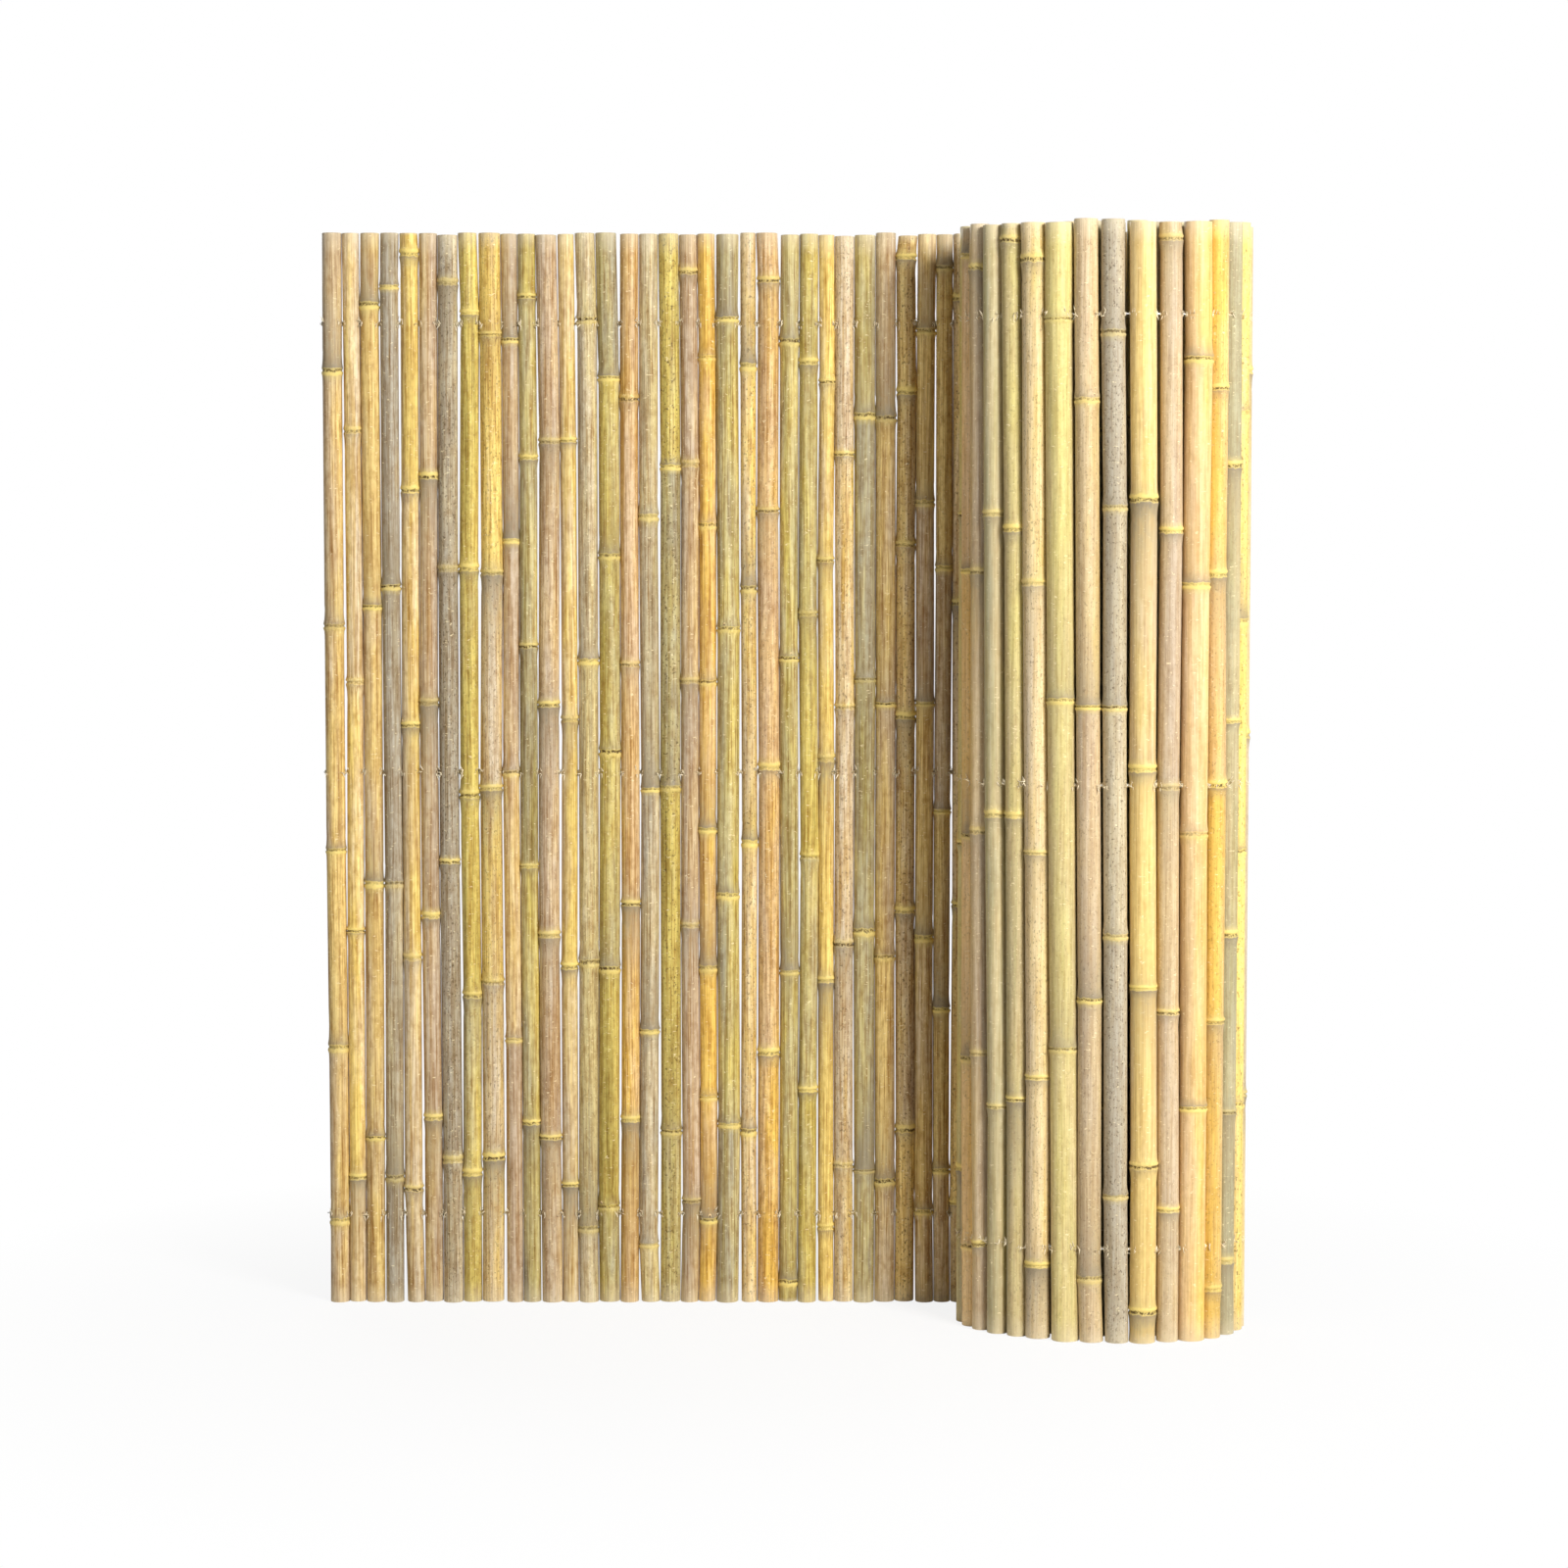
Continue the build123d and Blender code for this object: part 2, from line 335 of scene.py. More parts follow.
# Colours laid over the skin in turn, and how each blends, followed by the same six values as for the streaks
SKIN_LAYERS = (
    ("deep", "MULTIPLY", "fibre", 0.57, 0.28, 0.0, 0.82, "wear"),
    ("deep", "MULTIPLY", "blotch", 0.57, 0.28, 0.0, 0.5, "wear"),
    ("scratch", "MIX", "scratch", 0.65, 0.71, 0.0, 0.6, None),
    ("smudge", "MIX", "blotch", 0.3, 0.68, 0.45, 1.15, "mildew"),
    ("groove", "MIX", "speck", 0.58, 0.67, 0.0, 0.85, "freckles"),
)


def bamboo(title, weathered, skin, ripe, streaked, colours):
    """Natural bamboo skin: a satin, faintly ribbed cane whose internodes differ in ripeness. The eye sees
    fine lengthwise fibres, broad soft streaks, a bright double ring at each joint and mildew beside it."""
    material, tree, output = new_material(title)
    place = add_node(tree, "ShaderNodeTexCoord").outputs["Object"]
    noises = {}
    for name, across, upright, detail in NOISES:
        spread = add_node(tree, "ShaderNodeMapping", {"Vector": place, "Scale": per_mm(across, upright)})
        noise = add_node(tree, "ShaderNodeTexNoise", {"Vector": spread.outputs[0], "Scale": 1.0,
                                                      "Detail": detail, "Roughness": PATTERN_ROUGHNESS})
        noises[name] = noise.outputs["Fac"]
    marks = {}
    for name in MARKS:
        marks[name] = add_node(tree, "ShaderNodeAttribute", attribute_name=name).outputs["Fac"]

    def lay(base, shown, blend, pattern, start, full, least, most, mark):
        """Lays a colour over the skin where a pattern shows, as far as a mark lets it."""
        amount = add_node(tree, "ShaderNodeMapRange", {0: noises[pattern], 1: start, 2: full, 3: least,
                                                       4: most})
        if mark:
            amount = add_node(tree, "ShaderNodeMath", {0: amount.outputs[0], 1: marks[mark]},
                              operation="MULTIPLY")
        mixed = add_node(tree, "ShaderNodeMix", {"Factor": amount.outputs[0], 6: base, 7: shown},
                         data_type="RGBA", blend_type=blend)
        return mixed.outputs[2]

    drift = add_node(tree, "ShaderNodeMapRange", {0: noises["cloud"], 1: 0.25, 2: 0.75, 3: -DRIFT, 4: DRIFT})
    drift = add_node(tree, "ShaderNodeMath", {0: drift.outputs[0], 1: marks["wear"]}, operation="MULTIPLY")
    tint = add_node(tree, "ShaderNodeMath", {0: marks["internode_tint"], 1: drift.outputs[0]},
                    operation="ADD")
    tints = add_node(tree, "ShaderNodeValToRGB", {"Fac": tint.outputs[0]})
    tints.color_ramp.elements.new(0.5)
    for element, shown in zip(tints.color_ramp.elements, (weathered, skin, ripe)):
        element.color = shown
    base = lay(tints.outputs["Color"], streaked, "MIX", *STREAKS)
    base = add_node(tree, "ShaderNodeVectorMath", {0: base, 3: marks["internode_shade"]},
                    operation="SCALE").outputs[0]
    for name, blend, *pattern in SKIN_LAYERS:
        base = lay(base, getattr(colours, name), blend, *pattern)

    ragged = add_node(tree, "ShaderNodeMapRange", {0: noises["blotch"], 1: 0.2, 2: 0.8, 3: -RAGGED,
                                                   4: RAGGED})
    height = add_node(tree, "ShaderNodeMath", {0: marks["joint_height"], 1: ragged.outputs[0]},
                      operation="ADD")
    level = add_node(tree, "ShaderNodeMapRange", {0: height.outputs[0], 1: -BAND_SPAN, 2: BAND_SPAN})
    bands = add_node(tree, "ShaderNodeValToRGB", {"Fac": level.outputs[0]})
    ramp = bands.color_ramp.elements
    while len(ramp) < len(JOINT_BANDS):
        ramp.new(1.0)
    for element, (offset, name, cover) in zip(ramp, JOINT_BANDS):
        element.position = (offset + BAND_SPAN) / (2 * BAND_SPAN)
        element.color = list(getattr(colours, name))[:3] + [cover]
    cover = add_node(tree, "ShaderNodeMath", {0: bands.outputs["Alpha"], 1: marks["joint_ring"]},
                     operation="MULTIPLY")
    base = add_node(tree, "ShaderNodeMix", {"Factor": cover.outputs[0], 6: base, 7: bands.outputs["Color"]},
                    data_type="RGBA").outputs[2]
    apart = add_node(tree, "ShaderNodeMath", {0: height.outputs[0]}, operation="ABSOLUTE")
    line = add_node(tree, "ShaderNodeMapRange", {0: apart.outputs[0], 1: GROOVE_CORE, 2: GROOVE_EDGE,
                                                 3: 1.0, 4: 0.0})
    broken = add_node(tree, "ShaderNodeMapRange", {0: noises["speck"], 1: 0.38, 2: 0.54, 3: 0.1, 4: 1.0})
    amount = add_node(tree, "ShaderNodeMath", {0: line.outputs[0], 1: broken.outputs[0]},
                      operation="MULTIPLY")
    amount = add_node(tree, "ShaderNodeMath", {0: amount.outputs[0], 1: marks["joint_groove"]},
                      operation="MULTIPLY")
    base = add_node(tree, "ShaderNodeMix", {"Factor": amount.outputs[0], 6: base, 7: colours.groove},
                    data_type="RGBA").outputs[2]
    # Bare wood at cut ends, then painted shade that darkens deeper inside each bore
    for mark, bare in (("cut_end", colours.fibre), ("bore_depth", colours.bore)):
        base = add_node(tree, "ShaderNodeMix", {"Factor": marks[mark], 6: base, 7: bare},
                        data_type="RGBA").outputs[2]

    gloss = add_node(tree, "ShaderNodeMapRange", {0: noises["streak"], 1: 0.3, 2: 0.7, 3: SKIN_GLOSS[0],
                                                  4: SKIN_GLOSS[1]})
    ribs = add_node(tree, "ShaderNodeBump", {"Strength": 0.4, "Distance": RIB, "Height": noises["fibre"]})
    surface = add_node(tree, "ShaderNodeBsdfPrincipled", {
        "Base Color": base, "Roughness": gloss.outputs[0], "IOR": 1.5, "Specular IOR Level": 0.13,
        "Normal": ribs.outputs[0]})
    tree.links.new(surface.outputs[0], output.inputs["Surface"])
    return material


# How rough the zinc is where it is bright and where it is dull
STEEL_GLOSS = (0.26, 0.46)


def galvanised(colours):
    """Hot-dipped steel wire: grey, bright on the bend and dull in the hollows of its zinc skin."""
    material, tree, output = new_material("galvanised_steel")
    place = add_node(tree, "ShaderNodeTexCoord").outputs["Object"]
    spangle = add_node(tree, "ShaderNodeTexNoise", {"Vector": place, "Scale": 1 / (2.5 * MM), "Detail": 2.0})
    gloss = add_node(tree, "ShaderNodeMapRange", {0: spangle.outputs["Fac"], 1: 0.3, 2: 0.7,
                                                  3: STEEL_GLOSS[0], 4: STEEL_GLOSS[1]})
    surface = add_node(tree, "ShaderNodeBsdfPrincipled", {
        "Base Color": colours.steel, "Metallic": 1.0, "Roughness": gloss.outputs[0]})
    tree.links.new(surface.outputs[0], output.inputs["Surface"])
    return material


def bare_fibre(colours):
    """Bamboo wood torn by a drill: pale, matt and stringy."""
    material, tree, output = new_material("torn_fibre")
    place = add_node(tree, "ShaderNodeTexCoord").outputs["Object"]
    strings = add_node(tree, "ShaderNodeTexNoise", {"Vector": place, "Scale": 1 / (0.8 * MM), "Detail": 2.0})
    tone = add_node(tree, "ShaderNodeMapRange", {0: strings.outputs["Fac"], 1: 0.3, 2: 0.7, 3: 0.8, 4: 1.1})
    tone = add_node(tree, "ShaderNodeVectorMath", {0: colours.fibre[:3], 3: tone.outputs[0]},
                    operation="SCALE")
    surface = add_node(tree, "ShaderNodeBsdfPrincipled", {"Base Color": tone.outputs[0], "Roughness": 0.75})
    tree.links.new(surface.outputs[0], output.inputs["Surface"])
    return material


def twig_scar(colours):
    """Where a twig was trimmed off: a raised pale lip around a dark dry middle."""
    material, tree, output = new_material("twig_scar")
    depth = add_node(tree, "ShaderNodeAttribute", attribute_name="scar_depth").outputs["Fac"]
    inner = add_node(tree, "ShaderNodeMapRange", {0: depth, 1: 0.72, 2: 0.9})
    tone = add_node(tree, "ShaderNodeMix", {"Factor": inner.outputs[0], 6: colours.golden, 7: colours.groove},
                    data_type="RGBA")
    surface = add_node(tree, "ShaderNodeBsdfPrincipled", {"Base Color": tone.outputs[2], "Roughness": 0.6})
    tree.links.new(surface.outputs[0], output.inputs["Surface"])
    return material


# Each skin's weathered, ripe and streaked tints, beside the colour that a user may change
SKIN_TINTS = {
    "straw": ("#D4C4A8", "#F2D880", "#C9A44E"), "golden": ("#DABE98", "#F0C968", "#BE8F3E"),
    "tan": ("#C6B39A", "#E6CB84", "#B08A4E"), "olive": ("#B0A98E", "#DAC770", "#9E8C44"),
    "green": ("#B6AF8E", "#DCCE86", "#A59C5C"), "grey": ("#B4AB98", "#D6C68E", "#A0916E"),
}


def skins():
    """The bamboo materials by their slot's name, made once."""
    colours = bpy.context.scene.fence_colours
    made = {}
    for name, (weathered, ripe, streaked) in SKIN_TINTS.items():
        title = name + "_bamboo_skin"
        made["bamboo_" + name] = bpy.data.materials.get(title) or bamboo(
            title, linear(weathered), getattr(colours, name), linear(ripe), linear(streaked), colours)
    return made


def show(name, mesh):
    """An object for a finished mesh, at the origin."""
    piece = bpy.data.objects.new(name, mesh)
    bpy.context.scene.collection.objects.link(piece)
    return piece


def in_roll(cane):
    """Whether a cane belongs to the roll and not to the flat panel."""
    return not cane.node.startswith(("panel", "tail"))


def skin_radius(cane):
    """A cane's radius in its round form."""
    sizes = bpy.context.scene.fence_sizes
    if in_roll(cane):
        return cane.radius + sizes.roll_fuller
    return cane.radius + (sizes.end_fuller if cane.node >= PANEL_END else sizes.fuller)


def strays(cane, heights):
    """How far a cane's middle strays from its frame axis at some heights: it kinks a little at each joint."""
    knots, kinks = all_kinks()[cane.foot.to_tuple()]
    return np.stack([np.interp(heights, knots, [kink[way] for kink in kinks]) for way in (0, 1)], axis=-1)


@lru_cache(None)
def all_kinks():
    """Each cane's knots and kinks, chosen along the mat so that a cane leans on the one before it at most."""
    sizes = bpy.context.scene.fence_sizes
    dice = random.Random(SEED)
    chosen = {}
    before = None
    for place, cane in enumerate(CANES):
        along = along_mat(place)
        outward = Vector((-along.y, along.x, 0))
        bow = sizes.roll_bow if in_roll(cane) else sizes.bow
        knots = [cane.foot.z] + list(cane.joints) + [cane.head.z]
        kinks = []
        for height in knots:
            shift = dice.uniform(-bow, bow) if before else dice.uniform(0, bow)
            if before:
                apart = axis_at(cane, height) - axis_at(before, height)
                room = apart.length - skin_radius(cane) - skin_radius(before) - sizes.touch
                old_knots, old_kinks = chosen[before.foot.to_tuple()]
                old = np.interp(height, old_knots, [along.dot(kink) for kink in old_kinks])
                shift = max(shift, min(old - room, bow))
            kinks.append(along * shift - outward * dice.uniform(INWARD, bow))
        chosen[cane.foot.to_tuple()] = (knots, kinks)
        before = cane
    return chosen


# What a cane's growth is drawn from, beside the ordinary: its ridges, rings, grooves and joint widths, the
# spread of tint and the shades of canes and of their internodes, freckles and how rare mildew is
RIDGES = (0.75, 1.15)
RINGS = (0.35, 1.05)
GROOVES = (0.25, 1.0)
WIDTHS = (0.75, 1.3)
CANE_TINT = 0.38
CANE_SHADES = (0.94, 1.06)
INTERNODE_TINT = 0.28
INTERNODE_SHADES = (0.9, 1.06)
FRECKLES = (0.25, 0.35)
MILDEW_RARITY = 1.8

# Around a joint no other rows are set
JOINT_CLEAR = 24 * MM

# The hollow of a cut end: how far it stops short of a joint, the depth over which its painted shade
# deepens, and its rounded floor
BORE_STOP = 4 * MM
BORE_LIP = 12 * MM
BORE_ROUND = 1.5 * MM
BORE_FLOOR = 0.8


def cane_profile(cane, sizes, dice):
    """A cane's section from the floor of its lower bore, round its outside, to the floor of its upper one.
    Each row is a height, a radius and the marks that the skin reads there."""
    radius = skin_radius(cane)
    low = cane.foot.z
    high = cane.head.z
    ends = [low] + list(cane.joints) + [high]
    way_up = dice.choice((-1, 1))
    ridges = [sizes.ridge * dice.uniform(*RIDGES) for _ in cane.joints]
    mildews = [dice.random() ** MILDEW_RARITY for _ in cane.joints]
    rings = [dice.uniform(*RINGS) for _ in cane.joints]
    grooves = [dice.uniform(*GROOVES) for _ in cane.joints]
    widths = [dice.uniform(*WIDTHS) for _ in cane.joints]
    wear = ROLL_WEAR if in_roll(cane) else 1.0
    freckles = min(max(dice.gauss(*FRECKLES), 0), 1)
    tint = 0.5 + wear * dice.uniform(-CANE_TINT, CANE_TINT)
    shade = dice.uniform(*CANE_SHADES)
    tints = [tint + wear * dice.gauss(0, INTERNODE_TINT) for _ in ends[1:]]
    shades = [shade * dice.uniform(*INTERNODE_SHADES) for _ in ends[1:]]

    def skin_at(height):
        """What the skin reads at a height, in the order of MARKS up to wear."""
        part = sum(height > joint for joint in cane.joints)
        nearest = min(range(len(cane.joints)), key=lambda place: abs(height - cane.joints[place]))
        offset = way_up * (height - cane.joints[nearest]) / MM / widths[nearest]
        near = abs(offset) < RING_REACH
        ring = rings[nearest] if near else 0.0
        groove = grooves[nearest] if near else 0.0
        mildew = 0.0
        for joint, strength in zip(cane.joints, mildews):
            away = way_up * (height - joint) / MM
            fade = MILDEW_FADE if away > 0 else MILDEW_EDGE
            mildew = max(mildew, strength * math.exp(-abs(away) / fade))
        return tints[part], shades[part], offset, ring, groove, mildew, freckles, wear

    heights = {}
    for lower, upper in zip(ends[:-1], ends[1:]):
        steps = max(2, 2 * math.ceil((upper - lower) / INTERNODE_STEP / 2))
        for step in range(steps + 1):
            heights[round(lower + (upper - lower) * step / steps, 5)] = 0.0
    for joint, ridge, width in zip(cane.joints, ridges, widths):
        for height in [h for h in heights if abs(h - joint) < JOINT_CLEAR]:
            del heights[height]
        for offset, share in JOINT_PROFILE:
            heights[round(joint + way_up * offset * width * MM, 5)] = share * ridge
    walls = []
    for height in sorted(h for h in heights if low + sizes.rim < h < high - sizes.rim):
        walls.append((height, radius + heights[height]) + skin_at(height) + (0.0, 0.0))
    bore = radius * (1 - sizes.wall)

    def end(level, inward, joint):
        """The rows from an end's bore floor out to its worn rim."""
        depth = min(sizes.bore, max(BORE_STOP, abs(joint - level) - BORE_STOP))
        skin = skin_at(level)
        # The last value of each row is the painted shade inside the bore: none at the rim, full at its floor
        return [
            (level + inward * depth, 0.0) + skin + (1.0, 1.0),
            (level + inward * depth, bore * BORE_FLOOR) + skin + (1.0, 1.0),
            (level + inward * (depth - BORE_ROUND), bore) + skin + (1.0, 1.0),
            (level + inward * min(BORE_LIP, depth * 0.5), bore) + skin + (1.0, 0.9),
            (level + inward * sizes.rim, bore) + skin + (1.0, 0.2),
            (level, bore + sizes.rim) + skin + (1.0, 0.0),
            (level, radius - sizes.rim) + skin + (0.9, 0.0),
            (level + inward * sizes.rim, radius) + skin + (0.35, 0.0),
        ]

    return end(low, 1, cane.joints[0]) + walls + end(high, -1, cane.joints[-1])[::-1]


# How far a cane's section may be oval, and the angle from which an edge is shaded sharp
OVAL = 0.018
SHARP = math.radians(60)


def round_canes(node, canes):
    """The round, hollow, jointed canes that stand for a frame node, as one mesh."""
    sizes = bpy.context.scene.fence_sizes
    spots = []
    faces = []
    marks = []
    first = 0
    sides = sizes.sides
    turn = np.arange(sides) * (2 * math.pi / sides)
    ring = np.arange(sides)
    for cane in canes:
        dice = random.Random(f"{SEED} {cane.foot.x:.4f} {cane.foot.y:.4f}")
        rows = np.array(cane_profile(cane, sizes, dice))
        rise = (rows[:, 0] - cane.foot.z) / (cane.head.z - cane.foot.z)
        middle = np.array(cane.foot)[None, :2] + rise[:, None] * np.array(cane.head - cane.foot)[None, :2]
        middle += strays(cane, rows[:, 0])
        oval = 1 + dice.uniform(0, OVAL) * np.cos(2 * (turn - dice.uniform(0, math.pi)))
        reach = rows[:, 1, None] * oval[None]
        wall = np.stack([middle[:, 0, None] + reach * np.cos(turn),
                         middle[:, 1, None] + reach * np.sin(turn),
                         np.repeat(rows[:, 0, None], sides, axis=1)], axis=2)
        count = len(rows)
        spots.append(np.concatenate([wall[0, :1], wall[1:-1].reshape(-1, 3), wall[-1, :1]]))
        skin = np.repeat(rows[1:-1, 2:], sides, axis=0)
        skin[:, 0] += np.tile(SUN_BLEACH * np.cos(turn - dice.uniform(0, 2 * math.pi)), count - 2)
        marks.append(np.concatenate([rows[:1, 2:], skin, rows[-1:, 2:]]))
        lower = first + 1 + np.arange(count - 3)[:, None] * sides
        quads = np.stack([lower + ring, lower + (ring + 1) % sides, lower + sides + (ring + 1) % sides,
                          lower + sides + ring], axis=2).reshape(-1, 4)
        last = first + 1 + (count - 2) * sides
        faces += [(first, first + 1 + s, first + 1 + (s + 1) % sides) for s in range(sides)]
        faces += quads.tolist()
        top = last - sides
        faces += [(last, top + (s + 1) % sides, top + s) for s in range(sides)]
        first = last + 1
    mesh = bpy.data.meshes.new(node + "_round")
    mesh.from_pydata(np.concatenate(spots).tolist(), [], faces)
    values = np.concatenate(marks)
    for column, name in enumerate(MARKS):
        layer = mesh.attributes.new(name, "FLOAT", "POINT")
        layer.data.foreach_set("value", values[:, column].astype(np.float32))
    mesh.shade_smooth()
    mesh.set_sharp_from_angle(angle=SHARP)
    slot = SLOTS[node]
    mesh.materials.append(skins()[slot])
    piece = show(node + "_round", mesh)
    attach(piece, BODY)
    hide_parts(node)


def nodes_starting(*starts):
    """The frame nodes of canes whose names start so, each with its canes."""
    groups = {}
    for cane in CANES:
        if cane.node.startswith(starts):
            groups.setdefault(cane.node, []).append(cane)
    return groups


def new_tree(name, inputs):
    """A Geometry Nodes tree with named inputs and one geometry out."""
    tree = bpy.data.node_groups.new(name, "GeometryNodeTree")
    tree.interface.new_socket("Geometry", in_out="INPUT", socket_type="NodeSocketGeometry")
    for label in inputs:
        tree.interface.new_socket(label, in_out="INPUT", socket_type="NodeSocketFloat")
    tree.interface.new_socket("Geometry", in_out="OUTPUT", socket_type="NodeSocketGeometry")
    return tree, add_node(tree, "NodeGroupInput").outputs


def close_tree(tree, geometry, material):
    """Ends a tree: instances made real, shaded smooth, with their material."""
    solid = add_node(tree, "GeometryNodeRealizeInstances", {0: geometry})
    smooth = add_node(tree, "GeometryNodeSetShadeSmooth", {0: solid.outputs[0]})
    painted = add_node(tree, "GeometryNodeSetMaterial", {0: smooth.outputs[0], "Material": material})
    add_node(tree, "NodeGroupOutput", {0: painted.outputs[0]})


def grown(name, tree, points, values):
    """The plain mesh that a tree grows from points, as an object."""
    seedling = show(name + "_points", points)
    modifier = seedling.modifiers.new("Grow", "NODES")
    modifier.node_group = tree
    for item in tree.interface.items_tree:
        if item.in_out == "INPUT" and item.name in values:
            modifier[item.identifier] = values[item.name]
    shape = seedling.evaluated_get(bpy.context.evaluated_depsgraph_get())
    mesh = bpy.data.meshes.new_from_object(shape)
    mesh.name = name
    bpy.data.objects.remove(seedling)
    return show(name, mesh)


def point_mesh(name, spots, edges=(), **vectors):
    """A mesh of bare points, with vector attributes."""
    mesh = bpy.data.meshes.new(name)
    mesh.from_pydata([tuple(spot) for spot in spots], list(edges), [])
    for label, values in vectors.items():
        layer = mesh.attributes.new(label, "FLOAT_VECTOR", "POINT")
        layer.data.foreach_set("vector", np.array([tuple(v) for v in values], np.float32).ravel())
    return mesh


def wire_height(node):
    """The height at which a wire runs."""
    low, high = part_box(node)
    return (low.z + high.z) / 2


class FENCE_OT_panel_canes(bpy.types.Operator):
    """Rounds and hollows the canes of the flat panel."""
    bl_idname = "fence.panel_canes"
    bl_label = "Panel canes"

    def execute(self, context):
        for node, canes in nodes_starting("panel_cane", "tail_canes").items():
            round_canes(node, canes)
        return {"FINISHED"}


class FENCE_OT_roll_canes(bpy.types.Operator):
    """Rounds and hollows the canes of the roll."""
    bl_idname = "fence.roll_canes"
    bl_label = "Roll canes"

    def execute(self, context):
        for node, canes in nodes_starting("face_cane", "back_canes", "side_canes", "inner_canes").items():
            round_canes(node, canes)
        return {"FINISHED"}


# Sides of a wire, and how far it stands out of the cane at either end of the mat
WIRE_SIDES = 12
WIRE_TAIL = 3 * MM


class FENCE_OT_wires(bpy.types.Operator):
    """Runs a round galvanised wire along each row of holes."""
    bl_idname = "fence.wires"
    bl_label = "Wires"

    def execute(self, context):
        sizes = context.scene.fence_sizes
        tree, given = new_tree("Wire along its holes", ["Diameter"])
        path = add_node(tree, "GeometryNodeMeshToCurve", {0: given["Geometry"]})
        half = add_node(tree, "ShaderNodeMath", {0: given["Diameter"], 1: 0.5}, operation="MULTIPLY")
        section = add_node(tree, "GeometryNodeCurvePrimitiveCircle", {"Resolution": WIRE_SIDES,
                                                                      "Radius": half.outputs[0]})
        tube = add_node(tree, "GeometryNodeCurveToMesh", {0: path.outputs[0], 1: section.outputs[0],
                                                          "Fill Caps": True})
        close_tree(tree, tube.outputs[0], galvanised(context.scene.fence_colours))
        for node in WIRE_NODES:
            height = wire_height(node)
            spots = []
            for here, there in zip(CANES[:-1], CANES[1:]):
                start = axis_at(here, height)
                span = axis_at(there, height) - start
                gap = span.length - here.radius - there.radius
                spots.append(start + span * ((here.radius + gap / 2) / span.length))
            spots.insert(0, axis_at(CANES[0], height) - along_mat(0) * (CANES[0].radius + WIRE_TAIL))
            tail = along_mat(len(CANES) - 1) * (CANES[-1].radius + WIRE_TAIL)
            spots.append(axis_at(CANES[-1], height) + tail)
            links = [(step, step + 1) for step in range(len(spots) - 1)]
            piece = grown(node + "_round", tree, point_mesh(node + "_path", spots, links),
                          {"Diameter": sizes.wire})
            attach(piece, BODY)
            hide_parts(node)
        return {"FINISHED"}


# The ring of torn fibres around a hole: its sides, the radius of its mouth, its depth, how far it is sunk
# in the skin, how far its points stray, and the spread of its size
COLLAR_SIDES = 11
COLLAR_MOUTH = 1.1 * MM
COLLAR_DEPTH = 1.3 * MM
COLLAR_SUNK = 0.3 * MM
COLLAR_STRAY = 0.8 * MM
COLLAR_SIZES = (0.7, 1.15)


class FENCE_OT_hole_edges(bpy.types.Operator):
    """Sets a ring of torn fibres at the mouths of every hole."""
    bl_idname = "fence.hole_edges"
    bl_label = "Hole edges"

    def execute(self, context):
        sizes = context.scene.fence_sizes
        tree, given = new_tree("Torn fibres at holes", ["Radius"])
        collar = add_node(tree, "GeometryNodeMeshCone", {
            "Vertices": COLLAR_SIDES, "Side Segments": 2, "Radius Top": COLLAR_MOUTH,
            "Radius Bottom": given["Radius"], "Depth": COLLAR_DEPTH})
        out = add_node(tree, "GeometryNodeInputNamedAttribute", {"Name": "out"}, data_type="FLOAT_VECTOR")
        aim = add_node(tree, "FunctionNodeAlignRotationToVector", {"Vector": out.outputs[0]}, axis="Z")
        scale = add_node(tree, "FunctionNodeRandomValue", {2: COLLAR_SIZES[0], 3: COLLAR_SIZES[1],
                                                           "Seed": SEED}, data_type="FLOAT")
        rings = add_node(tree, "GeometryNodeInstanceOnPoints", {
            "Points": given["Geometry"], "Instance": collar.outputs[0], "Rotation": aim.outputs[0],
            "Scale": scale.outputs[1]})
        loose = add_node(tree, "GeometryNodeRealizeInstances", {0: rings.outputs[0]})
        jitter = add_node(tree, "FunctionNodeRandomValue", {0: (-COLLAR_STRAY,) * 3, 1: (COLLAR_STRAY,) * 3,
                                                            "Seed": SEED + 1}, data_type="FLOAT_VECTOR")
        torn = add_node(tree, "GeometryNodeSetPosition", {0: loose.outputs[0], "Offset": jitter.outputs[0]})
        close_tree(tree, torn.outputs[0], bare_fibre(context.scene.fence_colours))
        for node in WIRE_NODES:
            height = wire_height(node)
            spots = []
            outs = []
            for place, cane in enumerate(CANES):
                for side in (-1, 1):
                    way = along_mat(place) * side
                    spots.append(core_at(cane, height) + way * (skin_radius(cane) - COLLAR_SUNK))
                    outs.append(way)
            points = point_mesh(node + "_mouths", spots, out=outs)
            piece = grown(node.replace("wire", "hole_edges"), tree, points, {"Radius": sizes.torn})
            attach(piece, BODY)
        return {"FINISHED"}


# Splinters at each mouth of a hole: their number, sides, the radius of tip and root, the spread of their
# size, how far round the cane and, in millimetres, above the hole they stand, how far they lean out, up and
# along, and the reach beside their length that has to stay inside the frame's box
SPLINTERS = 8
SPLINTER_SIDES = 4
SPLINTER_TIP = 0.08 * MM
SPLINTER_ROOT = 0.8 * MM
SPLINTER_SIZES = (0.45, 1.1)
SPLINTER_ROUND = (0.4, 0.9)
SPLINTER_RISE = 3.5
SPLINTER_OUT = (0.2, 1)
SPLINTER_UP = 1.2
SPLINTER_ALONG = (-0.1, 0.5)
SPLINTER_REACH = 1.2


